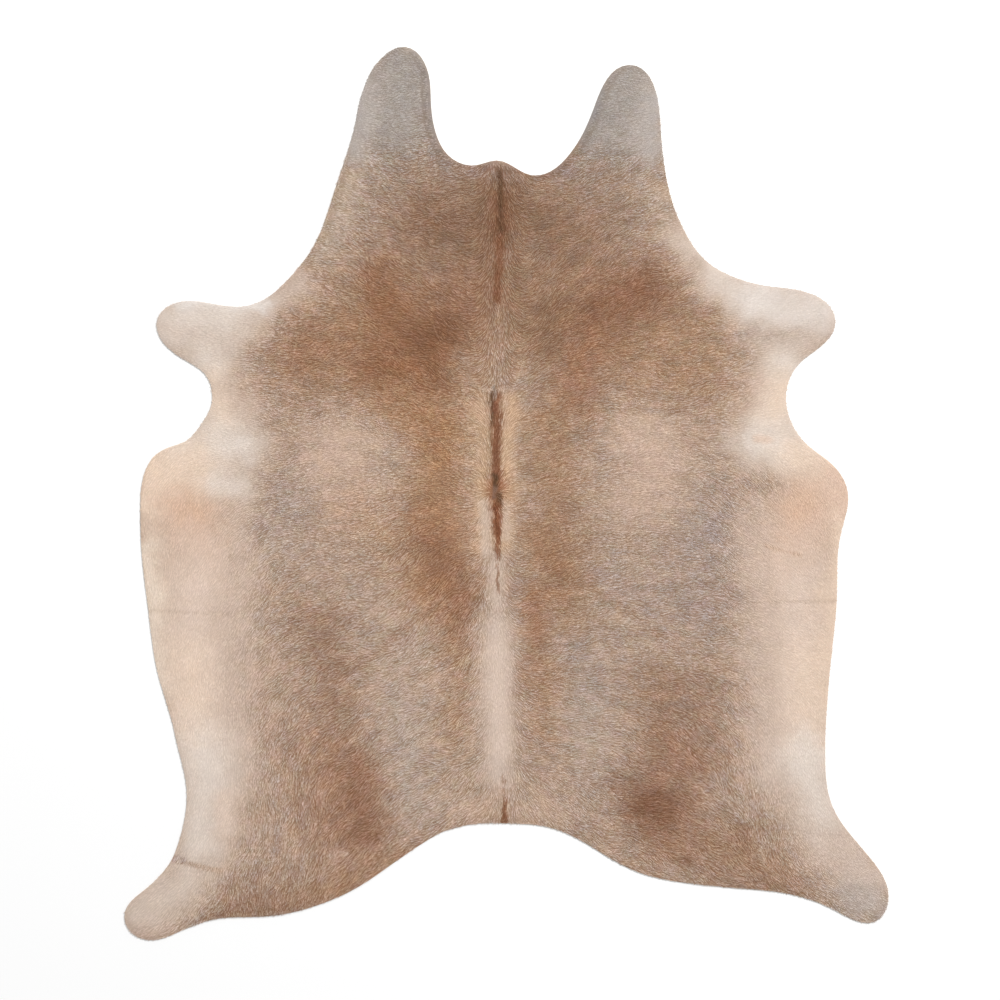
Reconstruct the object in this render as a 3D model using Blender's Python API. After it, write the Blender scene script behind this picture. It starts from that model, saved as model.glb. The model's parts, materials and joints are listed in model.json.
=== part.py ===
"""Cowhide rug: one tanned hide with its hair on, cut to the skin's own outline and laid flat.

Metres, +Z up. The flesh side lies on the plane z = 0 and the hair side faces up. The spine
runs along Y with the neck towards +Y, and the origin is the middle of the footprint.
"""

import math

import bmesh
import bpy
import numpy as np
from mathutils import Vector
from mathutils.geometry import delaunay_2d_cdt, interpolate_bezier

# Driving dimensions.
LENGTH = 2.130  # from the tip of the neck flap to the hind toe
LEATHER = 0.0026  # tanned skin at the cut edge
COAT = 0.0024  # short hair lying flat on the skin

# The landmarks are read on a hide of this length, and scaled to LENGTH.
DRAWN_LENGTH = 2.130

# The cut edge, clockwise from the neck: the place of each landmark and the compass of the
# edge there, in degrees from +X. Each span between two landmarks bends like a round arc.
# name, across, along, heading
EDGE = (
    ("neck_bump", -0.021, 0.794, -3),
    ("neck_dip_right", 0.067, 0.758, 0),
    ("right_flap_root", 0.163, 0.826, 55),
    ("right_flap_inner", 0.212, 0.928, 70),
    ("right_flap_tip", 0.294, 1.022, 0),
    ("right_flap_outer", 0.361, 0.936, -80),
    ("right_flap_base", 0.371, 0.824, -84),
    ("right_shoulder", 0.410, 0.655, -66),
    ("right_shoulder_foot", 0.499, 0.537, -31),
    ("right_foreleg_top", 0.651, 0.491, -5),
    ("right_foreleg_brow", 0.742, 0.469, -27),
    ("right_foreleg_tip", 0.784, 0.409, -90),
    ("right_foreleg_under", 0.714, 0.324, -143),
    ("right_armpit", 0.666, 0.228, -90),
    ("right_brisket", 0.713, 0.120, -45),
    ("right_brisket_foot", 0.774, 0.072, -42),
    ("right_flank_corner", 0.815, -0.011, -90),
    ("right_flank", 0.798, -0.092, -104),
    ("right_belly", 0.788, -0.230, -91),
    ("right_belly_low", 0.770, -0.433, -95),
    ("right_waist", 0.760, -0.600, -90),
    ("right_stifle", 0.779, -0.750, -66),
    ("right_hock", 0.845, -0.843, -50),
    ("right_toe_outer", 0.911, -0.962, -90),
    ("right_toe_end", 0.861, -1.024, 180),
    ("right_sole", 0.782, -0.993, 153),
    ("right_heel", 0.675, -0.955, 168),
    ("right_ham", 0.515, -0.938, 174),
    ("right_thigh", 0.342, -0.912, 165),
    ("right_rump", 0.202, -0.842, 148),
    ("tail_right", 0.093, -0.794, 168),
    ("tail_middle", -0.010, -0.786, 178),
    ("tail_left", -0.117, -0.796, -163),
    ("left_rump", -0.158, -0.809, -152),
    ("left_thigh", -0.262, -0.876, -145),
    ("left_ham", -0.386, -0.955, -155),
    ("left_heel", -0.589, -1.009, -178),
    ("left_sole", -0.726, -1.023, -160),
    ("left_sole_foot", -0.783, -1.046, -154),
    ("left_toe_end", -0.848, -1.065, 180),
    ("left_toe_outer", -0.911, -1.008, 90),
    ("left_hock", -0.846, -0.931, 43),
    ("left_hock_top", -0.789, -0.853, 70),
    ("left_stifle", -0.762, -0.719, 90),
    ("left_waist", -0.790, -0.576, 101),
    ("left_belly_low", -0.838, -0.397, 100),
    ("left_belly", -0.860, -0.230, 98),
    ("left_flank", -0.873, -0.051, 90),
    ("left_flank_corner", -0.850, 0.077, 58),
    ("left_brisket", -0.780, 0.118, 15),
    ("left_brisket_top", -0.727, 0.166, 55),
    ("left_armpit", -0.701, 0.228, 90),
    ("left_foreleg_pit", -0.715, 0.280, 126),
    ("left_foreleg_under", -0.770, 0.320, 149),
    ("left_foreleg_tip", -0.834, 0.402, 90),
    ("left_foreleg_top", -0.756, 0.459, 0),
    ("left_foreleg_neck", -0.642, 0.445, 0),
    ("left_shoulder_foot", -0.541, 0.490, 44),
    ("left_shoulder", -0.453, 0.602, 63),
    ("left_flap_base", -0.401, 0.748, 71),
    ("left_flap_outer", -0.364, 0.865, 75),
    ("left_flap_shoulder", -0.344, 0.953, 70),
    ("left_flap_brow", -0.307, 1.028, 48),
    ("left_flap_tip", -0.246, 1.065, 0),
    ("left_flap_inner", -0.188, 1.008, -73),
    ("left_flap_waist", -0.180, 0.929, -87),
    ("left_flap_root", -0.157, 0.831, -63),
    ("neck_dip_left", -0.081, 0.782, 0),
)

# Long soft lines in the skin, raised or sunk across their half width.
# name, from across, from along, to across, to along, half width, height
LINES = (
    ("neck_crest", -0.016, 0.770, -0.019, 0.260, 0.022, 0.0010),
    ("back_ridge", -0.023, 0.250, -0.026, 0.020, 0.018, 0.0013),
    ("loin_ridge", -0.027, -0.010, -0.024, -0.260, 0.020, 0.0010),
    ("rump_ridge", -0.022, -0.270, -0.006, -0.780, 0.026, 0.0008),
    ("right_pack_fold", 0.544, -0.259, 0.780, -0.259, 0.014, -0.0008),
    ("left_pack_fold", -0.850, -0.287, -0.565, -0.287, 0.014, -0.0008),
    ("right_flank_wrinkle", 0.615, -0.123, 0.786, -0.178, 0.016, -0.0010),
    ("right_waist_crease", 0.700, -0.660, 0.758, -0.676, 0.012, -0.0008),
    ("left_hock_line", -0.785, -0.874, -0.673, -0.903, 0.016, -0.0009),
)

# Broad differences in the thickness of skin and hair.
# name, across, along, half width, half length, height
SWELLS = (
    ("neck", -0.020, 0.560, 0.300, 0.220, 0.0007),
    ("left_shoulder", -0.330, 0.300, 0.200, 0.140, 0.0004),
    ("right_shoulder", 0.330, 0.320, 0.200, 0.140, 0.0004),
    ("rump", -0.010, -0.560, 0.420, 0.200, 0.0006),
    ("left_belly", -0.720, -0.230, 0.130, 0.330, -0.0006),
    ("right_belly", 0.700, -0.230, 0.130, 0.330, -0.0006),
    ("left_axilla", -0.660, 0.120, 0.120, 0.110, -0.0006),
    ("right_axilla", 0.600, 0.130, 0.120, 0.110, -0.0006),
    ("back_whorl", -0.031, 0.004, 0.013, 0.013, -0.0014),
)

# How far in from the cut edge the coat reaches each share of its depth.
# inset, share of COAT
COAT_RISE = ((0.0, 0.0), (0.004, 0.55), (0.016, 1.0))

# Spacing of the mesh.
EDGE_STEP = 0.0155
GRID_STEP = 0.056
UNDER_STEP = 0.130
BEZIER_STEPS = 24

HAIR_COLOUR = (0.42, 0.29, 0.20, 1.0)
HAIR_ROUGHNESS = 0.75


def arc_handle(start, end, turn):
    """Length of a Bezier handle that makes the span bend like a round arc through this turn."""
    chord = (end - start).length
    if turn < math.radians(2):
        return chord / 3
    return chord * 2 / 3 * math.tan(turn / 4) / math.sin(turn / 2)


def cut_edge():
    """The whole cut edge as evenly spaced points, counter-clockwise seen from above."""
    scale = LENGTH / DRAWN_LENGTH
    knots = [Vector((across, along)) * scale for _, across, along, _ in EDGE]
    headings = [math.radians(heading) for *_, heading in EDGE]
    dense = []
    for i, start in enumerate(knots):
        j = (i + 1) % len(knots)
        end = knots[j]
        turn = abs(math.remainder(headings[j] - headings[i], math.tau))
        reach = arc_handle(start, end, turn)
        leave = Vector((math.cos(headings[i]), math.sin(headings[i]))) * reach
        arrive = Vector((math.cos(headings[j]), math.sin(headings[j]))) * reach
        span = interpolate_bezier(start, start + leave, end - arrive, end, BEZIER_STEPS)
        dense.extend(span[:-1])
    dense = np.array([(p.x, p.y) for p in reversed(dense)])
    closed = np.vstack([dense, dense[:1]])
    walked = np.concatenate([[0], np.cumsum(np.linalg.norm(np.diff(closed, axis=0), axis=1))])
    count = round(walked[-1] / EDGE_STEP)
    stops = np.arange(count) * walked[-1] / count
    return np.column_stack([np.interp(stops, walked, closed[:, k]) for k in (0, 1)])


def inset_loop(edge, depth):
    """The edge moved inwards by this depth. The inside lies to the left of its direction."""
    along = np.roll(edge, -1, axis=0) - np.roll(edge, 1, axis=0)
    along /= np.linalg.norm(along, axis=1)[:, None]
    return edge + depth * np.column_stack([-along[:, 1], along[:, 0]])


def distance_to(points, others):
    """The distance from each point to the nearest of the others."""
    gaps = points[:, None, :] - others[None, :, :]
    return np.sqrt((gaps**2).sum(axis=2)).min(axis=1)


def inside(points, loop):
    """True for each point that lies within the closed loop."""
    start, end = loop[None, :, :], np.roll(loop, -1, axis=0)[None, :, :]
    x, y = points[:, 0, None], points[:, 1, None]
    spans = (start[..., 1] > y) != (end[..., 1] > y)
    rise = np.where(spans, end[..., 1] - start[..., 1], 1.0)
    crossing = start[..., 0] + (y - start[..., 1]) / rise * (end[..., 0] - start[..., 0])
    return (spans & (x < crossing)).sum(axis=1) % 2 == 1


def staggered_grid(loop, step, clearance):
    """Points in rows over the inside of the loop, no closer to it than the clearance."""
    low, high = loop.min(axis=0), loop.max(axis=0)
    row_gap = step * math.sqrt(3) / 2
    rows = np.arange(low[1], high[1], row_gap)
    points = [
        (x, y)
        for number, y in enumerate(rows)
        for x in np.arange(low[0] + (number % 2) * step / 2, high[0], step)
    ]
    points = np.array(points)
    points = points[inside(points, loop)]
    return points[distance_to(points, loop) > clearance]


def line_points():
    """Points on each soft line and on both its sides, so that the mesh follows it."""
    points = []
    for _, x0, y0, x1, y1, half_width, _ in LINES:
        start, end = np.array((x0, y0)), np.array((x1, y1))
        length = np.linalg.norm(end - start)
        sideways = np.array((y0 - y1, x1 - x0)) / length * half_width
        count = max(2, round(length / (1.8 * half_width)))
        for share in np.linspace(0, 1, count + 1):
            middle = start + share * (end - start)
            points += [middle, middle - sideways, middle + sideways]
    return np.array(points)


def bell(ratio):
    """A smooth rise from 0 at a ratio of 1 to 1 at a ratio of 0."""
    return np.where(ratio < 1, (1 - np.minimum(ratio, 1) ** 2) ** 2, 0.0)


def relief(points):
    """How far the hair side is raised or sunk at each point by the lines and swells."""
    height = np.zeros(len(points))
    for _, x0, y0, x1, y1, half_width, rise in LINES:
        start, along = np.array((x0, y0)), np.array((x1 - x0, y1 - y0))
        share = np.clip(((points - start) @ along) / (along @ along), 0, 1)
        away = np.linalg.norm(points - start - share[:, None] * along, axis=1)
        height += rise * bell(away / (2 * half_width))
    for _, x, y, half_width, half_length, rise in SWELLS:
        ratio = np.hypot((points[:, 0] - x) / half_width, (points[:, 1] - y) / half_length)
        height += rise * bell(ratio / 1.6)
    return height


def triangles_within(points, loops):
    """Delaunay triangles of the points that lie inside the loops, each a run of indices."""
    edges = []
    for first, count in loops:
        edges += [(first + k, first + (k + 1) % count) for k in range(count)]
    flat = [Vector((float(x), float(y))) for x, y in points]
    placed, _, faces, *_ = delaunay_2d_cdt(flat, edges, [], 1, 1e-7)
    if len(placed) != len(points):
        raise ValueError("two mesh points coincide")
    return faces


def make_hide():
    """The whole rug as one closed solid: hair side, cut edge and flat flesh side."""
    edge = cut_edge()
    count = len(edge)
    loops = [inset_loop(edge, inset) for inset, _ in COAT_RISE]
    shares = np.concatenate([np.full(count, share) for _, share in COAT_RISE])

    middle = loops[-1]
    lines = line_points()
    lines = lines[inside(lines, middle)]
    lines = lines[distance_to(lines, middle) > EDGE_STEP / 2]
    grid = staggered_grid(middle, GRID_STEP, GRID_STEP / 2)
    grid = grid[distance_to(grid, lines) > GRID_STEP / 2]

    top = np.vstack([*loops, lines, grid])
    coat = np.ones(len(top))
    coat[: len(shares)] = shares
    heights = LEATHER + coat * (COAT + relief(top))
    top_faces = triangles_within(top, [(k * count, count) for k in range(len(loops))])

    under = np.vstack([edge, staggered_grid(edge, UNDER_STEP, UNDER_STEP / 2)])
    under_faces = triangles_within(under, [(0, count)])

    bm = bmesh.new()
    hair_side = [bm.verts.new((x, y, z)) for (x, y), z in zip(top, heights)]
    flesh_side = [bm.verts.new((x, y, 0.0)) for x, y in under]
    for a, b, c in top_faces:
        bm.faces.new((hair_side[a], hair_side[b], hair_side[c]))
    for a, b, c in under_faces:
        bm.faces.new((flesh_side[c], flesh_side[b], flesh_side[a]))
    for k in range(count):
        following = (k + 1) % count
        bm.faces.new((flesh_side[k], flesh_side[following], hair_side[following], hair_side[k]))
    bmesh.ops.triangulate(bm, faces=[face for face in bm.faces if len(face.verts) > 3])
    bmesh.ops.recalc_face_normals(bm, faces=bm.faces)
    mesh = bpy.data.meshes.new("hide")
    bm.to_mesh(mesh)
    bm.free()
    mesh.shade_smooth()
    mesh.set_sharp_from_angle(angle=math.radians(40))
    return bpy.data.objects.new("hide", mesh)


def hair_on_hide():
    """Short warm brown hair on leather, matt with a slight nap."""
    material = bpy.data.materials.new("hair_on_hide")
    material.use_nodes = True
    shader = material.node_tree.nodes["Principled BSDF"]
    shader.inputs["Base Color"].default_value = HAIR_COLOUR
    shader.inputs["Roughness"].default_value = HAIR_ROUGHNESS
    shader.inputs["Metallic"].default_value = 0.0
    return material


def main():
    for obj in list(bpy.data.objects):
        bpy.data.objects.remove(obj, do_unlink=True)
    hide = make_hide()
    hide.data.materials.append(hair_on_hide())
    bpy.context.scene.collection.objects.link(hide)


main()
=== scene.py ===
"""Cowhide rug: the tanned skin with its short coat, flat on a pale studio floor, seen from above."""

import json
import math

import bpy
import numpy as np
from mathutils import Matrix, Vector, noise
from mathutils.bvhtree import BVHTree

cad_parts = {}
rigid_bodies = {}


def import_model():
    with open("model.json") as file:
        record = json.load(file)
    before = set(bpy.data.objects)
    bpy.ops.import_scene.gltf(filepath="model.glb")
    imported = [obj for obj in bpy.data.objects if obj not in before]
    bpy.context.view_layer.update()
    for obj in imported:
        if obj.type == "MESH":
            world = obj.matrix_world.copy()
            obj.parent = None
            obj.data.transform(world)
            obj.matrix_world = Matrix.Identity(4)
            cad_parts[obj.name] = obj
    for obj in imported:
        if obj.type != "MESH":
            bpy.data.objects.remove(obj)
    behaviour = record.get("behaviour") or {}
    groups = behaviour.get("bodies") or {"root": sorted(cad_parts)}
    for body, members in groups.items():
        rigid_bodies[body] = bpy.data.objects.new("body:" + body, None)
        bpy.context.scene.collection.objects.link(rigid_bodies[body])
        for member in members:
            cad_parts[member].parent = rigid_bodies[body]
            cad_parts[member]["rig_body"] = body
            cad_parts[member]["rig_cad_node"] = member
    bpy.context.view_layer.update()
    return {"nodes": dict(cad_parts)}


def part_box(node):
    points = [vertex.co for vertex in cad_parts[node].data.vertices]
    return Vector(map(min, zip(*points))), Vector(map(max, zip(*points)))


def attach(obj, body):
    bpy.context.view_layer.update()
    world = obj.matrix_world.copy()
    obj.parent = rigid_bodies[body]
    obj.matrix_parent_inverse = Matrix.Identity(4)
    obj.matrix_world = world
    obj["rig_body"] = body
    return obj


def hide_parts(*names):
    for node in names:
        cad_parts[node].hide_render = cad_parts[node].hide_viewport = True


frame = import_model()

SEED = 41

MM = 0.001  # a millimetre, because everything here is in metres

# The skin.
LEATHER = 0.0026  # its thickness at the cut edge
EDGE_RISE = 0.0015  # the slow waves of the skin start this far above the cut edge
# scale, height
WAVES = ((9.0, 0.0006), (21.0, 0.0003))
CUTS = 3  # each face of the solid's hair side is cut this often
WELD = 0.00001
UPWARD = 0.25  # faces whose normals rise more than this are the hair side
DOWNWARD = -0.99  # and those whose normals fall below this are the flat flesh side
SHARP_ANGLE = 40  # degrees

# The coat. One lock stands for some fifty hairs that lie together.
LOCK_PITCH = 0.00335
LOCK_JITTER = 0.40  # shares of the pitch
LOCK_LENGTH = 0.019
LOCK_HALF_WIDTH = 0.00080
LOCK_RISE = 0.0011  # how far the tip of a lock stands off the skin
LOCK_CROWN = 0.0006  # how far its sides lie below its ridge
ROOT_DEPTH = 0.0003  # its root stands this deep in the skin
OVERHANG = 0.0015  # locks that end at the edge reach this far past it
HEM = 0.009  # from an edge that the hair leans away from, locks are shorter over this width
HEM_DEPTH = 0.35  # there the coat is sleeker too, or bare roots would show as a dark rim
HEM_LENGTH = (0.25, 0.8)  # the shares of a lock's length that are left there
HEM_WIDTH = 1.5  # and how much wider it is
HEM_LIFT = 0.0004  # its sides lie this far above the rounded edge
WIDEST_SHARE = 0.60
SHOWING_SHARE = 0.75  # the part of a lock that shows lies about here along it
SLEEK_SHARE = 0.28  # where the coat is sleek, a lock has the tone of this place all along it
SIDE_SHARE = 0.55  # its two sides lie in the shade of its ridge, and have the tone of this place
SHORTENED = (0.85, 0.7, 0.55, 0.4, 0.25, 0.1)  # a lock that would end off the hide is cut so far
STRIPS = 5
LOCK_IN_CELL = ((0.5, 0.06), (0.06, 0.59), (0.94, 0.59), (0.5, 0.94))  # root, sides and tip
ABOVE = 1.0  # a height that is well above the rug

# How locks differ, as shares of the measures above and in degrees for their turn. A field changes
# slowly over the hide. Locks of a sleek coat differ less.
# pitch, size
SWIRL = (0.060, 14.0)
TUFT_TURN = (0.024, 20.0)
STRAY_TURN = 7.0
LENGTH_FIELD = (0.011, 0.18)
LENGTH_SPREAD = 0.12
WIDTH_SPREAD = 0.30
RISE_SPREAD = 0.35
SLEEK_RISE = 0.3
KIND_TONE = 0.42  # between dark and light hairs
LOCK_TONE = 0.10
SLEEK_TONE = 0.15
SKIN_TONE = 0.1  # the skin under a full coat lies in its shade

# The photograph covers this much of the floor, and its middle lies here.
VIEW_WIDTH = 2.385
VIEW_CENTRE = (-0.0155, -0.0155)
LENS = 120
SENSOR = 36

# The studio.
FLOOR_SIZE = 30.0
FLOOR_PAINT = "#fdfdfd"
SOFTBOX_SIZE = 4.0
SOFTBOX_PLACE = (6.5, 8.5, 10.8)
SOFTBOX_POWER = 1790.0  # watts
ROOM_LIGHT = 0.556

# The spine wanders a little from the neck to the tail.
# along, across
SPINE = (
    (0.783, -0.013),
    (0.628, -0.013),
    (0.247, -0.023),
    (0.001, -0.030),
    (-0.254, -0.023),
    (-0.492, -0.018),
    (-0.731, -0.004),
)

# The lie of the hair: degrees that it leans from straight outwards, forwards (+) or tailwards.
# Each row is a place along the spine and each column a distance from it.
LIE_ACROSS = (0.12, 0.24, 0.36, 0.48, 0.60, 0.72, 0.84)
# along, left side, right side
LIE = (
    (0.94, (-5, -10, -15, -15, -15, 0, 0), (0, -10, -22, -25, -25, 0, 0)),
    (0.70, (-5, 14, 16, 16, 10, 10, 10), (5, 26, 20, 14, 10, 10, 10)),
    (0.51, (26, 26, 17, 2, 5, 8, 8), (28, 34, 13, 5, 5, 8, 8)),
    (0.40, (20, 13, 2, -2, 4, 13, 15), (34, 19, 5, 10, 8, 14, 14)),
    (0.22, (11, 11, 1, 5, 6, 10, 10), (11, 5, -3, 8, 15, 15, 15)),
    (0.10, (7, -1, -2, -11, -10, -20, -60), (6, 3, -3, -20, -22, -40, -60)),
    (-0.03, (-4, -12, -8, -12, -30, -70, -88), (4, 9, -1, -17, -38, -74, -80)),
    (-0.20, (-40, -38, -14, -18, -62, -77, -88), (9, 9, -5, -9, -35, -48, -65)),
    (-0.40, (-38, -24, -12, -30, -58, -74, -85), (5, 6, -5, -9, -34, -35, -60)),
    (-0.60, (-22, -30, -44, -64, -85, -75, -75), (-10, -10, -22, -40, -74, -66, -68)),
    (-0.78, (-42, -32, -38, -80, -88, -70, -60), (-36, -14, -12, -28, -86, -74, -55)),
    (-0.93, (-45, -45, -58, -68, -80, -55, -30), (-36, -30, -30, -32, -41, -40, -33)),
)
# Beside the spine the hair lies along it: back from the neck, forwards from the whorl to the
# withers, and back again behind the whorl.
# along, reach
SPINE_REACH = ((-0.40, 0.075), (-0.25, 0.050), (0.30, 0.050), (0.40, 0.075))
WITHERS_ALONG = 0.247
WHORL_ALONG = 0.004
HAIR_TURNS_OVER = 0.010

# The coat's pigments.
PIGMENTS = {
    "bark": "#61442e",
    "walnut": "#7c543b",
    "russet": "#7e4c31",
    "rust": "#aa714e",
    "hickory": "#8b6b54",
    "cocoa": "#916950",
    "saddle": "#966a4c",
    "sorrel": "#9f755a",
    "umber": "#a07f68",
    "hazel": "#a58063",
    "amber": "#ab805e",
    "fallow": "#ad8c72",
    "tan": "#b29783",
    "mushroom": "#a18a78",
    "taupe": "#a89285",
    "honey": "#ccab8d",
    "mauve": "#8f7b77",
    "pewter": "#968b85",
    "slate": "#9b9592",
    "ash": "#a39991",
    "smoke": "#b7aea8",
    "dove": "#b39d8e",
    "oat": "#b7a292",
    "rose": "#c7ac99",
    "fawn": "#bba592",
    "biscuit": "#c3a792",
    "shell": "#cfbaab",
    "apricot": "#dcbfab",
    "peach": "#d6b298",
    "butter": "#e6ceb9",
    "cream": "#dcc6b6",
    "milk": "#e3d6cb",
    "ivory": "#ecdac8",
    "chalk": "#e8dfd8",
}
GROUND = "tan"
# Where the coat is full, a darker hair is also a redder one, and single hairs show more as specks of
# uneven pigment and painted shadow.
RICHNESS = (-0.26, 0.26)
SPECK_AND_SHADOW_SWING = (-0.32, 0.32)
# Between these lightnesses the coat turns from full to sleek, as on the belly and the legs.
PALE_FROM = 0.565
PALE_TO = 0.76
SLEEKNESS = 0.82
# Grey coat, with less colour than this, is sleeker too, as on the flaps of the neck, whose grey is
# painted sheen over the hair's own colour.
GREY_BELOW = 0.13
GREY_OVER = 0.05
GREY_SLEEKNESS = 0.45
# Marking edges wander, except along the spine.
# pitch, size
RAGGED_EDGES = ((0.110, 0.012), (0.045, 0.011), (0.018, 0.007))
RAGGED_FROM = 0.03
RAGGED_OVER = 0.08
FRAY = (0.0065, 0.0050)
# The coat is mottled, with streaks that follow the hair, and some tufts are redder or yellower.
# pitch, size
BLOTCHES = (0.022, 0.038)
STREAKS = (0.010, 0.080)
STREAK_RUN = (-0.018, -0.006, 0.006, 0.018)
TUFT_RED = (0.014, 0.020)
TUFT_BLUE = (0.014, 0.034)
# A stroke narrower than this keeps its line and a crisp edge, as the stripe along the spine does.
FINE = 0.015
HALF_COVER = 0.69  # leaves half of a stroke at its half width
SOFT_EDGE = 2  # the powers of a stroke's fall
CRISP_EDGE = 4
FIELD_REACH = 2.0  # the random fields below reach this far from the middle of the rug

# The tones of the hair, which multiply the coat's colour. A lock is darkest at its root, partly as
# greyer hair and partly as painted shade where it lies under other locks, and lightest at its
# bleached tip.
ROOT_GREY_AND_SHADE = 0.69
TIP_TONE = 1.69
DARKEST_LOCK = 0.47
LIGHTEST_LOCK = 1.53
DARKEST_PATCH = 0.97
LIGHTEST_PATCH = 1.03
PATCH = 45.45 * MM  # a patch of hair that is a little darker or lighter
# A speck stands for uneven pigment and the painted shadow between a few hairs.
SPECK_AND_SHADOW = 2.0833 * MM  # a speck for each few hairs, which are really finer
# Most of what a noise texture gives lies between these.
NOISE_LOW = 0.3
NOISE_HIGH = 0.7

# The tones of the suede.
SUEDE_DARK = "#b7a692"
SUEDE_LIGHT = "#d9cdbc"
SUEDE_SPAN = (0.35, 0.75)
NAP = 2.381 * MM  # real nap is finer, and is drawn coarser here to be seen at all
NAP_HEIGHT = 0.6 * MM
STAIN = 142.86 * MM
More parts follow.
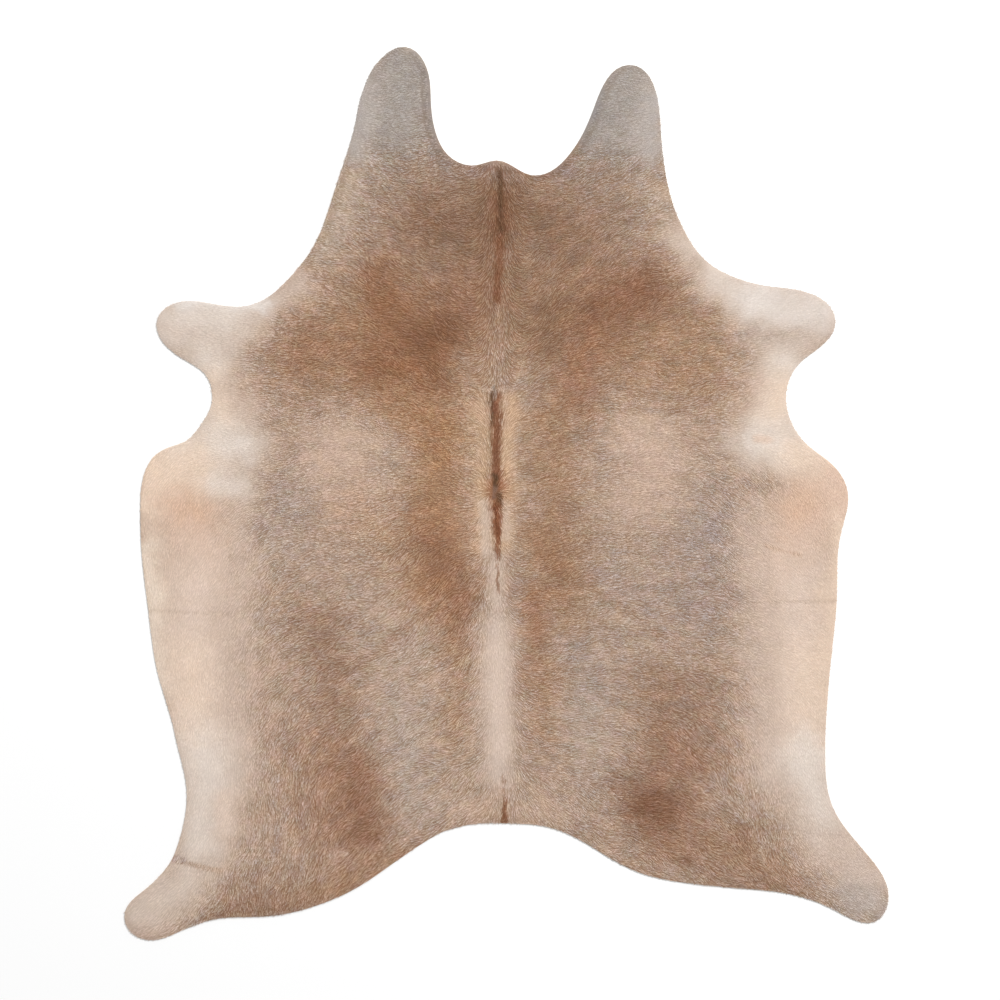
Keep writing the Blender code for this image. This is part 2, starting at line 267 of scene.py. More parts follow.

# The animal's markings, painted over the ground in this order. Each is a soft stroke between two
# places. Across is measured from the spine, outwards, and on "mid" strokes to the right.
# name, side, from across, from along, to across, to along, half width, pigment, strength
MARKINGS = (
    ("barrel", "both", 0.23, 0.13, 0.28, -0.49, 0.167, "fawn", 0.35),
    ("belly upper", "both", 0.77, 0.00, 0.70, -0.13, 0.076, "apricot", 0.90),
    # The blue-grey of the neck flaps is painted sheen, where the lie of the hair catches the light,
    # over the hair's own colour.
    ("left flap", "left", 0.23, 1.03, 0.26, 0.86, 0.091, "ash", 1.00),
    ("left flap hem", "left", 0.32, 0.99, 0.35, 0.82, 0.029, "smoke", 0.90),
    ("right flap", "right", 0.29, 0.99, 0.26, 0.83, 0.076, "ash", 1.00),
    ("right flap hem", "right", 0.36, 0.95, 0.36, 0.82, 0.038, "smoke", 0.90),
    ("left flap edge", "left", 0.17, 1.01, 0.15, 0.81, 0.024, "pewter", 0.90),
    ("right flap edge", "right", 0.23, 0.96, 0.21, 0.82, 0.021, "slate", 0.85),
    ("neck side", "both", 0.24, 0.75, 0.28, 0.69, 0.067, "mushroom", 0.70),
    ("flap root", "both", 0.16, 0.78, 0.25, 0.78, 0.033, "mushroom", 0.60),
    ("neck", "mid", -0.18, 0.63, 0.18, 0.62, 0.100, "umber", 1.00),
    ("left neck shade", "mid", -0.16, 0.65, -0.05, 0.64, 0.062, "hickory", 0.90),
    ("neck top", "mid", -0.08, 0.74, 0.02, 0.73, 0.038, "hickory", 0.60),
    ("neck bay rim", "mid", -0.12, 0.79, 0.15, 0.76, 0.021, "mauve", 0.40),
    ("right neck shade", "mid", 0.06, 0.69, 0.16, 0.58, 0.052, "hickory", 0.65),
    ("neck middle", "mid", -0.04, 0.55, 0.03, 0.49, 0.060, "hickory", 0.75),
    ("left neck hem", "left", 0.37, 0.75, 0.43, 0.58, 0.036, "fawn", 0.95),
    ("right neck hem", "right", 0.38, 0.71, 0.41, 0.65, 0.036, "fawn", 0.85),
    ("right neck rim", "right", 0.45, 0.60, 0.51, 0.53, 0.041, "milk", 0.65),
    ("shoulder", "both", 0.43, 0.35, 0.12, 0.40, 0.105, "hazel", 0.95),
    ("left wither", "left", 0.29, 0.51, 0.26, 0.45, 0.052, "saddle", 0.75),
    ("left shoulder", "left", 0.25, 0.42, 0.21, 0.39, 0.048, "saddle", 0.60),
    ("left blade", "left", 0.16, 0.35, 0.13, 0.38, 0.055, "walnut", 0.82),
    ("left shoulder low", "left", 0.29, 0.31, 0.14, 0.29, 0.050, "saddle", 0.95),
    ("left shoulder foot", "left", 0.23, 0.22, 0.16, 0.17, 0.048, "amber", 0.80),
    ("left point", "left", 0.49, 0.33, 0.41, 0.34, 0.052, "sorrel", 0.45),
    ("right wither", "right", 0.22, 0.43, 0.34, 0.48, 0.064, "cocoa", 1.00),
    ("right shoulder", "right", 0.11, 0.43, 0.13, 0.34, 0.041, "hickory", 0.80),
    ("right blade", "right", 0.21, 0.34, 0.19, 0.24, 0.052, "sorrel", 0.80),
    ("right shoulder glow", "right", 0.34, 0.36, 0.49, 0.37, 0.033, "fallow", 0.60),
    ("right point", "right", 0.39, 0.29, 0.51, 0.33, 0.057, "fallow", 0.80),
    ("crest side", "left", 0.06, 0.30, 0.05, 0.24, 0.033, "fallow", 0.60),
    ("left crest shade", "left", 0.13, 0.49, 0.07, 0.46, 0.048, "cocoa", 0.60),
    ("left shoulder rim", "left", 0.48, 0.50, 0.56, 0.45, 0.031, "shell", 0.85),
    ("right shoulder rim", "right", 0.51, 0.50, 0.60, 0.45, 0.036, "milk", 0.70),
    ("left foreleg", "left", 0.65, 0.42, 0.80, 0.40, 0.069, "milk", 0.90),
    ("left foreleg rim", "left", 0.749, 0.457, 0.566, 0.461, 0.019, "chalk", 0.85),
    ("right foreleg", "right", 0.63, 0.45, 0.75, 0.44, 0.067, "chalk", 0.80),
    ("left foreleg shade", "left", 0.798, 0.399, 0.678, 0.366, 0.017, "shell", 0.50),
    ("right foreleg shade", "right", 0.59, 0.39, 0.70, 0.38, 0.021, "oat", 0.70),
    ("armpit", "both", 0.69, 0.31, 0.66, 0.18, 0.048, "milk", 0.90),
    ("armpit glow", "both", 0.68, 0.25, 0.65, 0.19, 0.036, "butter", 0.80),
    ("chest", "both", 0.62, 0.26, 0.58, 0.22, 0.033, "rose", 0.60),
    ("axilla", "both", 0.76, 0.11, 0.61, 0.12, 0.048, "milk", 0.95),
    ("axilla glow", "both", 0.81, 0.08, 0.72, 0.09, 0.045, "butter", 0.85),
    ("right armpit spot", "right", 0.621, 0.130, 0.650, 0.128, 0.010, "apricot", 0.60),
    ("flank top", "left", 0.76, 0.05, 0.69, 0.03, 0.036, "butter", 0.80),
    ("flank low", "left", 0.66, 0.03, 0.61, 0.02, 0.031, "milk", 0.80),
    ("belly corner", "left", 0.82, 0.06, 0.83, -0.04, 0.033, "butter", 0.90),
    ("right belly corner", "right", 0.81, 0.05, 0.83, -0.05, 0.036, "apricot", 0.95),
    ("girth top", "both", 0.41, 0.10, 0.35, 0.13, 0.057, "rose", 0.90),
    ("girth", "both", 0.50, -0.02, 0.52, -0.12, 0.048, "dove", 0.80),
    ("right girth", "right", 0.52, -0.10, 0.49, -0.28, 0.055, "taupe", 0.70),
    ("ribs", "both", 0.38, 0.06, 0.34, -0.03, 0.057, "rose", 0.90),
    ("left rib warmth", "left", 0.34, -0.04, 0.26, -0.13, 0.062, "amber", 0.30),
    ("left back", "left", 0.13, 0.16, 0.14, -0.23, 0.062, "amber", 0.95),
    ("left back shade", "left", 0.16, -0.11, 0.11, -0.23, 0.045, "cocoa", 0.72),
    ("left back end", "left", 0.09, -0.24, 0.09, -0.35, 0.031, "sorrel", 0.70),
    ("right back", "right", 0.13, 0.15, 0.16, -0.25, 0.064, "hazel", 0.80),
    ("right back shade", "right", 0.10, -0.10, 0.15, -0.17, 0.033, "saddle", 0.50),
    ("right back end", "right", 0.09, -0.25, 0.09, -0.44, 0.031, "sorrel", 0.75),
    ("spine side", "both", 0.037, 0.218, 0.027, -0.123, 0.020, "honey", 0.85),
    ("left loin", "left", 0.43, -0.31, 0.39, -0.49, 0.057, "umber", 0.80),
    ("right loin", "right", 0.39, -0.49, 0.40, -0.60, 0.072, "umber", 0.80),
    ("right loin low", "right", 0.48, -0.48, 0.50, -0.59, 0.043, "umber", 0.60),
    ("right hip", "right", 0.39, -0.58, 0.45, -0.65, 0.043, "sorrel", 0.45),
    ("right grey ribs", "right", 0.27, -0.19, 0.37, -0.26, 0.052, "taupe", 0.50),
    ("right grey croup", "right", 0.21, -0.38, 0.21, -0.48, 0.048, "taupe", 0.65),
    ("left croup", "left", 0.23, -0.53, 0.23, -0.73, 0.052, "oat", 0.85),
    ("right croup", "right", 0.21, -0.54, 0.23, -0.71, 0.050, "oat", 0.68),
    ("croup inside", "both", 0.10, -0.39, 0.11, -0.58, 0.033, "fallow", 0.80),
    ("spine cream", "mid", 0.00, -0.17, 0.00, -0.26, 0.021, "shell", 0.85),
    ("tail cream", "mid", 0.00, -0.32, -0.01, -0.67, 0.036, "shell", 1.00),
    ("tail glow", "mid", 0.00, -0.37, 0.00, -0.60, 0.026, "cream", 0.60),
    ("tail root", "mid", -0.08, -0.76, 0.11, -0.76, 0.038, "biscuit", 0.70),
    ("tail line", "mid", -0.001, -0.674, -0.001, -0.731, 0.003, "umber", 0.50),
    ("left rump", "left", 0.41, -0.64, 0.38, -0.80, 0.081, "sorrel", 0.62),
    ("left rump shade", "left", 0.35, -0.66, 0.34, -0.82, 0.036, "cocoa", 0.70),
    ("left ham", "left", 0.67, -0.98, 0.43, -0.96, 0.045, "umber", 0.90),
    ("left thigh edge", "left", 0.43, -0.95, 0.25, -0.86, 0.029, "hazel", 0.65),
    ("right rump", "right", 0.34, -0.71, 0.40, -0.77, 0.067, "cocoa", 0.72),
    ("right rump shade", "right", 0.33, -0.74, 0.36, -0.76, 0.043, "walnut", 0.62),
    ("right thigh", "right", 0.45, -0.84, 0.40, -0.85, 0.043, "sorrel", 0.45),
    ("right ham", "right", 0.52, -0.85, 0.65, -0.91, 0.043, "hazel", 0.70),
    ("right ham shade", "right", 0.55, -0.82, 0.57, -0.85, 0.021, "cocoa", 0.40),
    ("right ham edge", "right", 0.48, -0.91, 0.70, -0.93, 0.026, "umber", 0.50),
    ("belly top", "both", 0.74, -0.03, 0.71, -0.05, 0.036, "peach", 0.80),
    ("belly", "both", 0.73, -0.23, 0.71, -0.59, 0.081, "cream", 1.00),
    ("belly low", "both", 0.74, -0.40, 0.72, -0.57, 0.048, "butter", 0.65),
    ("left belly rim", "left", 0.84, -0.12, 0.81, -0.47, 0.031, "ivory", 0.85),
    ("right belly rim", "right", 0.83, -0.08, 0.78, -0.49, 0.026, "butter", 0.80),
    ("belly root", "both", 0.62, -0.06, 0.62, -0.66, 0.043, "shell", 0.50),
    ("left stifle", "left", 0.71, -0.64, 0.72, -0.83, 0.064, "milk", 0.85),
    ("left stifle root", "left", 0.66, -0.73, 0.65, -0.79, 0.029, "cream", 1.00),
    ("right stifle", "right", 0.70, -0.65, 0.77, -0.80, 0.052, "milk", 0.90),
    ("right waist", "right", 0.72, -0.59, 0.74, -0.62, 0.031, "milk", 0.65),
    ("right stifle root", "right", 0.64, -0.66, 0.67, -0.75, 0.031, "shell", 0.50),
    ("left shank", "left", 0.86, -0.99, 0.77, -0.93, 0.064, "milk", 0.62),
    ("right shank", "right", 0.87, -0.91, 0.79, -0.84, 0.057, "shell", 1.00),
    ("right toe", "right", 0.89, -0.98, 0.82, -0.96, 0.038, "smoke", 0.55),
    # The belly's folds, wrinkles and creases are thin darker strokes: painted shade in place of
    # their relief.
    ("left fold shade", "left", 0.828, -0.280, 0.554, -0.292, 0.004, "fawn", 0.35),
    ("left belly wrinkle shade", "left", 0.672, -0.073, 0.662, -0.125, 0.003, "tan", 0.30),
    ("left belly crease shade", "left", 0.642, -0.097, 0.617, -0.216, 0.003, "tan", 0.35),
    ("right rib streak", "right", 0.204, -0.206, 0.392, -0.340, 0.010, "umber", 0.45),
    ("left rib streak", "left", 0.172, -0.283, 0.378, -0.445, 0.010, "umber", 0.45),
    ("right fold shade", "right", 0.575, -0.261, 0.813, -0.256, 0.004, "fawn", 0.35),
    ("right belly wrinkle shade", "right", 0.643, -0.125, 0.726, -0.149, 0.004, "hazel", 0.22),
    ("left hock line", "left", 0.789, -0.876, 0.675, -0.903, 0.005, "umber", 0.40),
    ("left hock tick", "left", 0.782, -0.872, 0.766, -0.876, 0.008, "taupe", 0.70),
    ("right thigh spot", "right", 0.432, -0.872, 0.439, -0.876, 0.008, "walnut", 0.50),
    ("left thigh scar", "left", 0.394, -0.855, 0.379, -0.862, 0.006, "shell", 0.50),
    ("left croup nick", "left", 0.160, -0.803, 0.153, -0.807, 0.004, "umber", 0.50),
    ("crest shade", "mid", 0.00, 0.70, 0.00, 0.63, 0.024, "walnut", 0.85),
    ("crest stripe", "mid", 0.000, 0.767, -0.002, 0.628, 0.007, "bark", 0.75),
    ("neck stripe", "mid", -0.002, 0.605, -0.005, 0.461, 0.010, "russet", 0.55),
    ("withers stripe", "mid", -0.001, 0.233, 0.005, 0.027, 0.011, "russet", 0.78),
    ("withers stripe edge", "mid", -0.012, 0.240, -0.009, 0.166, 0.004, "bark", 0.60),
    ("withers tuft", "mid", -0.005, 0.252, -0.004, 0.230, 0.005, "ash", 0.50),
    ("whorl halo", "mid", 0.006, 0.025, 0.007, -0.020, 0.020, "rust", 0.75),
    ("whorl", "mid", 0.001, 0.044, 0.004, 0.023, 0.008, "bark", 0.85),
    ("whorl heel", "mid", 0.014, 0.001, 0.012, -0.027, 0.008, "bark", 0.75),
    ("whorl middle", "mid", 0.001, 0.016, 0.001, -0.008, 0.004, "mauve", 0.65),
    ("back stripe", "mid", 0.006, -0.035, 0.007, -0.097, 0.010, "russet", 0.95),
    ("back stripe waist", "mid", 0.007, -0.101, 0.005, -0.154, 0.005, "russet", 0.85),
    ("back stripe end", "mid", 0.004, -0.149, 0.003, -0.235, 0.003, "russet", 0.50),
    ("left back flank", "mid", -0.025, -0.027, -0.023, -0.140, 0.014, "shell", 0.70),
    ("right back flank", "mid", 0.028, -0.025, 0.026, -0.106, 0.011, "shell", 0.55),
    ("tail stripe", "mid", 0.000, -0.738, 0.000, -0.783, 0.006, "russet", 0.70),
)


def srgb(pigment):
    """The shares of red, green and blue in an sRGB hex value, as they are mixed in paint."""
    return np.array([int(pigment[k : k + 2], 16) / 255 for k in (1, 3, 5)])


def to_linear(paint):
    """Linear colours from sRGB shares."""
    return np.where(paint <= 0.04045, paint / 12.92, ((paint + 0.055) / 1.055) ** 2.4)


def opaque(pigment):
    """An opaque linear colour from an sRGB hex value."""
    return (*to_linear(srgb(pigment)), 1)


def ease(share):
    """A share from 0 to 1 that starts and ends gently."""
    return share * share * (3 - 2 * share)


def spine_across(along):
    """Where the spine is at each place along the hide."""
    stations = np.array(SPINE)[::-1]
    return np.interp(along, stations[:, 0], stations[:, 1])


def field(points, shape, rng):
    """A smooth random field over the hide. Its shape is the pitch of its hills and their size."""
    pitch, size = shape
    cells = np.floor((points + FIELD_REACH) / pitch).astype(int)
    share = ease((points + FIELD_REACH) / pitch - cells)
    hills = int(2 * FIELD_REACH / pitch) + 2
    table = rng.uniform(-1, 1, (hills, hills))
    i, j = cells.T
    u, v = share.T
    near = table[i, j] * (1 - u) + table[i + 1, j] * u
    far = table[i, j + 1] * (1 - u) + table[i + 1, j + 1] * u
    return size * (near * (1 - v) + far * v)


def stroke(across, along, x0, y0, x1, y1, half_width):
    """How strongly a soft stroke covers each place, half of it at the half width."""
    dx, dy = x1 - x0, y1 - y0
    share = np.clip(((across - x0) * dx + (along - y0) * dy) / (dx * dx + dy * dy), 0, 1)
    away = np.hypot(across - x0 - share * dx, along - y0 - share * dy)
    edge = CRISP_EDGE if half_width < FINE else SOFT_EDGE
    return np.exp(-HALF_COVER * (away / half_width) ** edge)


def coat_colour(points):
    """The coat's colour in sRGB shares at each place, painted from the markings."""
    rng = np.random.default_rng(SEED + 1)
    from_spine = points[:, 0] - spine_across(points[:, 1])
    ragged = np.clip((np.abs(from_spine) - RAGGED_FROM) / RAGGED_OVER, 0, 1)
    drift = [
        ragged * sum(field(points, edge, rng) for edge in RAGGED_EDGES)
        for _ in range(2)
    ]
    from_spine = from_spine + field(points, FRAY, rng)
    fine = (from_spine, points[:, 1])
    broad = (from_spine + drift[0], points[:, 1] + drift[1])
    paint = np.tile(srgb(PIGMENTS[GROUND]), (len(points), 1))
    for _, side, x0, y0, x1, y1, half_width, pigment, strength in MARKINGS:
        across, along = fine if half_width < FINE else broad
        across = {"both": np.abs(across), "left": -across}.get(side, across)
        cover = strength * stroke(across, along, x0, y0, x1, y1, half_width)
        paint += cover[:, None] * (srgb(PIGMENTS[pigment]) - paint)
    lie = lie_of_hair(points)
    streak = sum(
        field(points + run * lie, STREAKS, np.random.default_rng(SEED + 2)) for run in STREAK_RUN
    )
    blotch = field(points, BLOTCHES, rng) + streak / len(STREAK_RUN)
    red = field(points, TUFT_RED, rng)
    blue = field(points, TUFT_BLUE, rng)
    change = np.column_stack([blotch + red, blotch, blotch + blue])
    return paint * (1 + depth_of_coat(paint)[:, None] * change)


def depth_of_coat(paint):
    """How deep and uneven the coat looks: full where it is brown, sleek where it is pale."""
    pale = np.clip((paint.mean(axis=1) - PALE_FROM) / (PALE_TO - PALE_FROM), 0, 1)
    grey = np.clip((GREY_BELOW - np.ptp(paint, axis=1)) / GREY_OVER, 0, 1)
    return (1 - SLEEKNESS * ease(pale)) * (1 - GREY_SLEEKNESS * grey)


def lie_of_hair(points):
    """The unit direction in which the hair lies at each place."""
    from_spine = points[:, 0] - spine_across(points[:, 1])
    away = np.abs(from_spine)
    along = np.array([row[0] for row in LIE])[::-1]
    row = np.clip(np.searchsorted(along, points[:, 1]) - 1, 0, len(along) - 2)
    up = np.clip((points[:, 1] - along[row]) / (along[row + 1] - along[row]), 0, 1)
    across = np.array(LIE_ACROSS)
    column = np.clip(np.searchsorted(across, away) - 1, 0, len(across) - 2)
    out = np.clip((away - across[column]) / (across[column + 1] - across[column]), 0, 1)
    lean = np.zeros(len(points))
    for side, member in ((1, from_spine < 0), (2, from_spine >= 0)):
        table = np.array([entry[side] for entry in LIE], float)[::-1]
        low = table[row, column] * (1 - out) + table[row, column + 1] * out
        high = table[row + 1, column] * (1 - out) + table[row + 1, column + 1] * out
        lean = np.where(member, low * (1 - up) + high * up, lean)
    past_whorl, past_withers = (
        np.tanh((points[:, 1] - place) / HAIR_TURNS_OVER) for place in (WHORL_ALONG, WITHERS_ALONG)
    )
    beside = ease(np.clip(1 - away / np.interp(points[:, 1], *zip(*SPINE_REACH)), 0, 1))
    lean = lean + beside * ((past_whorl - past_withers - 1) * 90 - lean)
    lean = np.radians(lean)
    return np.column_stack([np.where(from_spine < 0, -1, 1) * np.cos(lean), np.sin(lean)])


def add_node(tree, kind, inputs=(), **settings):
    """One shader node with its settings. Each input is a value, or an output to link to it."""
    node = tree.nodes.new(kind)
    for name, value in settings.items():
        setattr(node, name, value)
    for socket, value in dict(inputs).items():
        if isinstance(value, bpy.types.NodeSocket):
            tree.links.new(value, node.inputs[socket])
        else:
            node.inputs[socket].default_value = value
    return node


def new_material(name):
    """An empty material, its node tree and its output node."""
    material = bpy.data.materials.new(name)
    material.use_nodes = True
    tree = material.node_tree
    tree.nodes.clear()
    return material, tree, tree.nodes.new("ShaderNodeOutputMaterial")


def short_cattle_hair():
    """Tanned cattle hair, 20 to 30 mm long: matt keratin locks, greyer at the root and bleached at
    the tip, with a faint sheen along their length. The roots and sides of the locks also carry
    painted shade."""
    material, tree, output = new_material("short_cattle_hair")
    coat, strand_and_shade, chance, full = (
        add_node(tree, "ShaderNodeAttribute", attribute_name=name)
        for name in ("coat", "strand_and_shade", "chance", "depth")
    )
    # From the dark root to the bleached tip: greyer root hair, with painted shade at the root and
    # sides where locks lie under and beside each other.
    length = add_node(
        tree,
        "ShaderNodeMapRange",
        {"Value": strand_and_shade.outputs["Fac"], "To Min": ROOT_GREY_AND_SHADE, "To Max": TIP_TONE},
    )
    lock = add_node(
        tree,
        "ShaderNodeMapRange",
        {"Value": chance.outputs["Fac"], "To Min": DARKEST_LOCK, "To Max": LIGHTEST_LOCK},
    )
    place = add_node(tree, "ShaderNodeTexCoord").outputs["Object"]
    mottle = add_node(
        tree,
        "ShaderNodeTexNoise",
        {"Vector": place, "Scale": 1 / PATCH, "Detail": 3.0, "Roughness": 0.6},
    )
    patch = add_node(
        tree,
        "ShaderNodeMapRange",
        {
            "Value": mottle.outputs["Fac"],
            "From Min": NOISE_LOW,
            "From Max": NOISE_HIGH,
            "To Min": DARKEST_PATCH,
            "To Max": LIGHTEST_PATCH,
        },
    )
    # Single hairs are finer than a lock and show as specks of uneven pigment and painted shadow
    # between hairs, drawn coarser here to be seen at all.
    hairs = add_node(
        tree, "ShaderNodeTexNoise", {"Vector": place, "Scale": 1 / SPECK_AND_SHADOW, "Detail": 1.0}
    )
    low, high, red, blue = (
        add_node(
            tree,
            "ShaderNodeMath",
            {0: full.outputs["Fac"], 1: swing, 2: 1.0},
            operation="MULTIPLY_ADD",
        ).outputs["Value"]
        for swing in (*SPECK_AND_SHADOW_SWING, *RICHNESS)
    )
    speck_and_shadow = add_node(
        tree,
        "ShaderNodeMapRange",
        {
            "Value": hairs.outputs["Fac"],
            "From Min": NOISE_LOW,
            "From Max": NOISE_HIGH,
            "To Min": low,
            "To Max": high,
        },
    )
    tone = length
    for change in (lock, patch, speck_and_shadow):
        tone = add_node(
            tree,
            "ShaderNodeMath",
            {0: tone.outputs[0], 1: change.outputs["Result"]},
            operation="MULTIPLY",
        )
    tone = tone.outputs["Value"]
    red, blue = (
        add_node(tree, "ShaderNodeMath", {0: tone, 1: power}, operation="POWER").outputs["Value"]
        for power in (red, blue)
    )
    shade = add_node(tree, "ShaderNodeCombineXYZ", {"X": red, "Y": tone, "Z": blue})
    colour = add_node(
        tree,
        "ShaderNodeVectorMath",
        {0: coat.outputs["Color"], 1: shade.outputs["Vector"]},
        operation="MULTIPLY",
    )
    shader = add_node(
        tree,
        "ShaderNodeBsdfPrincipled",
        {
            "Base Color": colour.outputs["Vector"],
            "Roughness": 0.68,
            "IOR": 1.55,
            "Specular IOR Level": 0.15,
            "Sheen Weight": 0.03,
            "Sheen Roughness": 0.5,
        },
    )
    tree.links.new(shader.outputs["BSDF"], output.inputs["Surface"])
    return material


def suede_split():
    """Chrome-tanned flesh side and cut edge: off-white suede with a short fibrous nap."""
    material, tree, output = new_material("suede_split")
    place = add_node(tree, "ShaderNodeTexCoord").outputs["Object"]
    nap = add_node(
        tree,
        "ShaderNodeTexNoise",
        {"Vector": place, "Scale": 1 / NAP, "Detail": 4.0, "Roughness": 0.7},
    )
    stain = add_node(
        tree, "ShaderNodeTexNoise", {"Vector": place, "Scale": 1 / STAIN, "Detail": 3.0}
    )
    mixed = add_node(
        tree,
        "ShaderNodeMath",
        {0: nap.outputs["Fac"], 1: stain.outputs["Fac"]},
        operation="ADD",
    )
    tone = add_node(tree, "ShaderNodeValToRGB", {"Fac": mixed.outputs["Value"]})
    low, high = tone.color_ramp.elements
    low.position, high.position = SUEDE_SPAN
    low.color = opaque(SUEDE_DARK)
    high.color = opaque(SUEDE_LIGHT)
    bump = add_node(
        tree,
        "ShaderNodeBump",
        {"Height": nap.outputs["Fac"], "Strength": 0.5, "Distance": NAP_HEIGHT},
    )
    shader = add_node(
        tree,
        "ShaderNodeBsdfPrincipled",
        {
            "Base Color": tone.outputs["Color"],
            "Roughness": 0.92,
            "Specular IOR Level": 0.2,
            "Sheen Weight": 0.25,
            "Normal": bump.outputs["Normal"],
        },
    )
    tree.links.new(shader.outputs["BSDF"], output.inputs["Surface"])
    return material


def select_only(obj):
    """Makes this the only selected object, and the active one."""
    bpy.ops.object.select_all(action="DESELECT")
    obj.select_set(True)
    bpy.context.view_layer.objects.active = obj


def make_skin():
    """The leather: a finer copy of the solid, with the slow waves of a skin that lies loose."""
    skin = frame["nodes"]["hide"].copy()
    skin.data = skin.data.copy()
    skin.name = "skin"
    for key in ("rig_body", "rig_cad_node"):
        del skin[key]
    skin.parent = None
    bpy.context.scene.collection.objects.link(skin)
    select_only(skin)
    bpy.ops.object.mode_set(mode="EDIT")
    bpy.ops.mesh.select_all(action="SELECT")
    bpy.ops.mesh.remove_doubles(threshold=WELD)
    bpy.ops.mesh.select_all(action="DESELECT")
    bpy.ops.object.mode_set(mode="OBJECT")
    for polygon in skin.data.polygons:
        polygon.select = polygon.normal.z > UPWARD
    bpy.ops.object.mode_set(mode="EDIT")
    bpy.ops.mesh.select_mode(type="FACE")
    bpy.ops.mesh.subdivide(number_cuts=CUTS)
    bpy.ops.object.mode_set(mode="OBJECT")
    for vertex in skin.data.vertices:
        if vertex.co.z > LEATHER + EDGE_RISE:
            vertex.co.z += sum(height * noise.noise(vertex.co * scale) for scale, height in WAVES)
    select_only(skin)
    bpy.ops.object.shade_smooth()
    skin.data.set_sharp_from_angle(angle=math.radians(SHARP_ANGLE))
    for polygon in skin.data.polygons:
        if polygon.normal.z < DOWNWARD:
            polygon.use_smooth = False
    return skin


def hair_side_of(skin):
    """A search tree over the skin's upper faces."""
    skin.data.calc_loop_triangles()
    corners = [vertex.co.copy() for vertex in skin.data.vertices]
    faces = [tuple(t.vertices) for t in skin.data.loop_triangles if t.normal.z > UPWARD]
    return BVHTree.FromPolygons(corners, faces)


def heights_on(tree, points):
    """The height of the hair side under each point, or nan off the hide."""
    down = Vector((0, 0, -1))
    heights = np.full(len(points), np.nan)
    for k, (x, y) in enumerate(points):
        hit = tree.ray_cast(Vector((x, y, ABOVE)), down)[0]
        if hit is not None:
            heights[k] = hit.z
    return heights


def scatter_roots(tree, rng):
    """Where the locks grow: a jittered grid over the hide, with the height of the skin there.
    Dark and light hairs stand side by side, so every other lock is of the darker kind."""
    low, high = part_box("hide")
    across = np.arange(low.x, high.x, LOCK_PITCH)
    along = np.arange(low.y, high.y, LOCK_PITCH)
    grid = np.stack(np.meshgrid(across, along), axis=-1).reshape(-1, 2)
    turn = (np.arange(len(grid)) % len(across) + np.arange(len(grid)) // len(across)) % 2
    grid += rng.uniform(-LOCK_JITTER, LOCK_JITTER, grid.shape) * LOCK_PITCH
    heights = heights_on(tree, grid)
    kept = ~np.isnan(heights)
    return grid[kept], heights[kept], turn[kept] - 0.5


def lay_locks(tree, rng):
    """Lays the locks. Gives each lock's corners (its root, left and right where it is widest, and
    its tip), its colour, how full the coat is there and the lock's own chance of a tone."""
    roots, heights, kind = scatter_roots(tree, rng)
    count = len(roots)
    lie = lie_of_hair(roots)
    depth = depth_of_coat(coat_colour(roots))
    spread = SLEEK_RISE + (1 - SLEEK_RISE) * depth
    turn = np.radians(
        field(roots, SWIRL, rng)
        + depth * field(roots, TUFT_TURN, rng)
        + STRAY_TURN * spread * rng.standard_normal(count)
    )
    lie = np.column_stack(
        [
            lie[:, 0] * np.cos(turn) - lie[:, 1] * np.sin(turn),
            lie[:, 0] * np.sin(turn) + lie[:, 1] * np.cos(turn),
        ]
    )
    uneven = field(roots, LENGTH_FIELD, rng) + LENGTH_SPREAD * rng.standard_normal(count)
    length = LOCK_LENGTH * (1 + uneven)
    hem = np.isnan(heights_on(tree, roots - HEM * lie))
    length = np.where(hem, length * rng.uniform(*HEM_LENGTH, count), length)
    tips = roots + lie * length[:, None]
    tip_heights = heights_on(tree, tips)
    for share in SHORTENED:
        off = np.isnan(tip_heights)
        tips[off] = roots[off] + lie[off] * (length[off] * share)[:, None]
        tip_heights[off] = heights_on(tree, tips[off])
    outer = np.isnan(heights_on(tree, tips + OVERHANG * lie))
    tips[outer] += OVERHANG * lie[outer]
    tip_heights = np.where(np.isnan(tip_heights), heights, tip_heights)
    paint = coat_colour(roots + SHOWING_SHARE * (tips - roots))
    full = depth_of_coat(paint)
    depth = full * np.where(hem, HEM_DEPTH, 1.0)
    width = LOCK_HALF_WIDTH * (1 + WIDTH_SPREAD * rng.uniform(-1, 1, count))
    # A hem lock lies over the rounded edge, so its sides are its highest part, and change places.
    width = np.where(hem, -HEM_WIDTH * width, width)
    spread = SLEEK_RISE + (1 - SLEEK_RISE) * depth
    rise = LOCK_RISE * spread * (1 + RISE_SPREAD * rng.uniform(-1, 1, count))
    sideways = np.column_stack([-lie[:, 1], lie[:, 0]]) * width[:, None]
    widest = roots + (tips - roots) * WIDEST_SHARE
    root_heights = heights - ROOT_DEPTH
    tip_heights = tip_heights + rise
    corners = np.empty((count, 4, 3))
    corners[:, 0, :2] = roots
    corners[:, 0, 2] = root_heights
    corners[:, 1, :2] = widest + sideways
    corners[:, 2, :2] = widest - sideways
    sides = root_heights + (tip_heights - root_heights) * WIDEST_SHARE - LOCK_CROWN * depth
    over = heights_on(tree, widest[hem]) + HEM_LIFT
    sides[hem] = np.fmax(over, sides[hem] + LOCK_CROWN)
    corners[:, 1:3, 2] = sides[:, None]
    corners[:, 3, :2] = tips
    corners[:, 3, 2] = tip_heights
    luck = KIND_TONE * kind + LOCK_TONE * rng.standard_normal(count)
    chance = np.clip(0.5 + (SLEEK_TONE + (1 - SLEEK_TONE) * full) * luck, 0, 1)
    return corners, paint, depth, chance


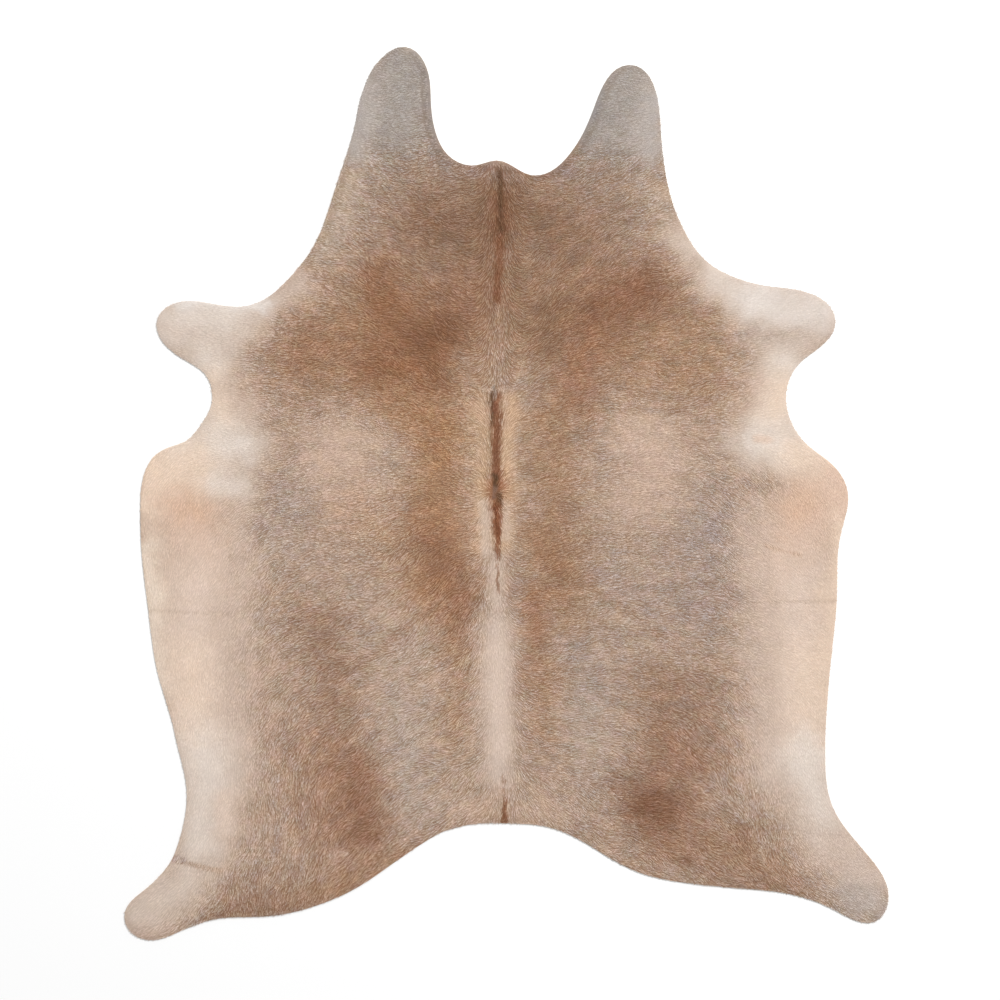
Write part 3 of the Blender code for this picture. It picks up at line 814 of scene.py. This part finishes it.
def write_coat(mesh, paint, strand_and_shade, chance, depth):
    """Stores the colour, the place along the lock, the lock's own chance and how full the coat is at
    each corner. The place along the lock sets its tone, with painted shade at its root and sides and
    on the skin between locks."""
    colour = np.column_stack([to_linear(paint), np.ones(len(paint))])
    coat = mesh.attributes.new("coat", "FLOAT_COLOR", "POINT")
    coat.data.foreach_set("color", colour.reshape(-1).astype(np.float32))
    for name, values in (("strand_and_shade", strand_and_shade), ("chance", chance), ("depth", depth)):
        layer = mesh.attributes.new(name, "FLOAT", "POINT")
        layer.data.foreach_set("value", values.astype(np.float32))


def make_strip(name, corners, paint, depth, chance):
    """One strip of the coat: all its locks joined in one mesh, each a closed sliver."""
    count = len(corners)
    sliver = np.array([(0, 3, 1), (0, 2, 3), (0, 1, 2), (3, 2, 1)])
    faces = (sliver[None, :, :] + 4 * np.arange(count)[:, None, None]).reshape(-1, 3)
    mesh = bpy.data.meshes.new(name)
    mesh.vertices.add(4 * count)
    mesh.vertices.foreach_set("co", corners.reshape(-1).astype(np.float32))
    mesh.loops.add(faces.size)
    mesh.loops.foreach_set("vertex_index", faces.reshape(-1).astype(np.int32))
    mesh.polygons.add(len(faces))
    mesh.polygons.foreach_set("loop_start", (3 * np.arange(len(faces))).astype(np.int32))
    mesh.update(calc_edges=True)
    mesh.shade_flat()

    # A lock's root and sides take dark places on the tone ramp: painted shade where it lies under
    # and beside other locks.
    strand_and_shade = np.outer(depth, (0, SIDE_SHARE, SIDE_SHARE, 1)) + (1 - depth)[:, None] * SLEEK_SHARE
    paint, chance, depth = (np.repeat(look, 4, axis=0) for look in (paint, chance, depth))
    write_coat(mesh, paint, strand_and_shade.reshape(-1), chance, depth)

    # Each lock has its own cell of the chart.
    cells = math.ceil(math.sqrt(count))
    cell = np.column_stack([np.arange(count) % cells, np.arange(count) // cells])
    places = ((cell[:, None, :] + np.array(LOCK_IN_CELL)) / cells).reshape(-1, 2)
    chart = mesh.uv_layers.new(name="OFBake")
    chart.data.foreach_set("uv", places[faces.reshape(-1)].reshape(-1).astype(np.float32))

    strip = bpy.data.objects.new(name, mesh)
    bpy.context.scene.collection.objects.link(strip)
    return strip


def make_coat(skin, hair):
    """The coat over the whole hair side, in strips from left to right."""
    rng = np.random.default_rng(SEED)
    corners, *looks = lay_locks(hair_side_of(skin), rng)
    order = np.argsort(corners[:, 0, 0])
    strips = []
    for number, members in enumerate(np.array_split(order, STRIPS), start=1):
        strip = make_strip(f"coat_strip_{number}", corners[members], *(x[members] for x in looks))
        strip.data.materials.append(hair)
        strips.append(strip)
    return strips


def paint_skin(skin, hair, suede):
    """The hair side takes the coat's colour, darkened with painted shade under a full coat, and the
    cut edge and flesh side are suede.
    """
    skin.data.materials.clear()
    skin.data.materials.append(hair)
    skin.data.materials.append(suede)
    for polygon in skin.data.polygons:
        polygon.material_index = 0 if polygon.normal.z > UPWARD else 1
    points = np.array([vertex.co[:2] for vertex in skin.data.vertices])
    paint = coat_colour(points)
    behind = heights_on(hair_side_of(skin), points - HEM * lie_of_hair(points))
    depth = depth_of_coat(paint) * np.where(np.isnan(behind), HEM_DEPTH, 1.0)
    # Under a full coat the skin takes a lock's root tone and a darker chance: painted shade between
    # the locks.
    write_coat(skin.data, paint, (1 - depth) * SLEEK_SHARE, 0.5 - SKIN_TONE * depth, depth)


def make_floor():
    """A plain near-white studio floor."""
    bpy.ops.object.select_all(action="DESELECT")
    bpy.ops.mesh.primitive_plane_add(size=FLOOR_SIZE, location=(0, 0, 0))
    floor = bpy.context.object
    floor.name = "floor"
    # Matt white paint: even, with hardly a sheen.
    material, tree, output = new_material("painted_floor")
    shader = add_node(
        tree,
        "ShaderNodeBsdfPrincipled",
        {"Base Color": opaque(FLOOR_PAINT), "Roughness": 0.9, "Specular IOR Level": 0.1},
    )
    tree.links.new(shader.outputs["BSDF"], output.inputs["Surface"])
    floor.data.materials.append(material)
    return floor


def aim(obj, target):
    """Turns a light to face a place."""
    direction = Vector(target) - obj.location
    obj.rotation_euler = direction.to_track_quat("-Z", "Y").to_euler()


def make_lights():
    """A large softbox at the upper right and an even pale room."""
    key = bpy.data.lights.new("softbox", "AREA")
    key.shape = "SQUARE"
    key.size = SOFTBOX_SIZE
    key.energy = SOFTBOX_POWER
    lamp = bpy.data.objects.new("softbox", key)
    lamp.location = SOFTBOX_PLACE
    bpy.context.scene.collection.objects.link(lamp)
    aim(lamp, (0, 0, 0))
    world = bpy.data.worlds.new("room")
    world.use_nodes = True
    room = world.node_tree.nodes["Background"]
    room.inputs["Color"].default_value = (1.0, 1.0, 1.0, 1.0)
    room.inputs["Strength"].default_value = ROOM_LIGHT
    bpy.context.scene.world = world


def make_camera():
    """Straight down over the rug, with the neck at the top of the picture."""
    lens = bpy.data.cameras.new("camera")
    lens.lens = LENS
    lens.sensor_width = SENSOR
    camera = bpy.data.objects.new("camera", lens)
    camera.location = (*VIEW_CENTRE, VIEW_WIDTH * LENS / SENSOR)
    camera.rotation_euler = (0, 0, 0)
    bpy.context.scene.collection.objects.link(camera)
    bpy.context.scene.camera = camera


def main():
    """Builds the rug, then the studio around it."""
    hair = short_cattle_hair()
    suede = suede_split()
    skin = make_skin()
    strips = make_coat(skin, hair)
    paint_skin(skin, hair, suede)
    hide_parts("hide")
    for piece in (skin, *strips):
        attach(piece, "root")
    make_floor()
    make_lights()
    make_camera()
    bpy.context.scene.view_settings.view_transform = "Standard"


main()
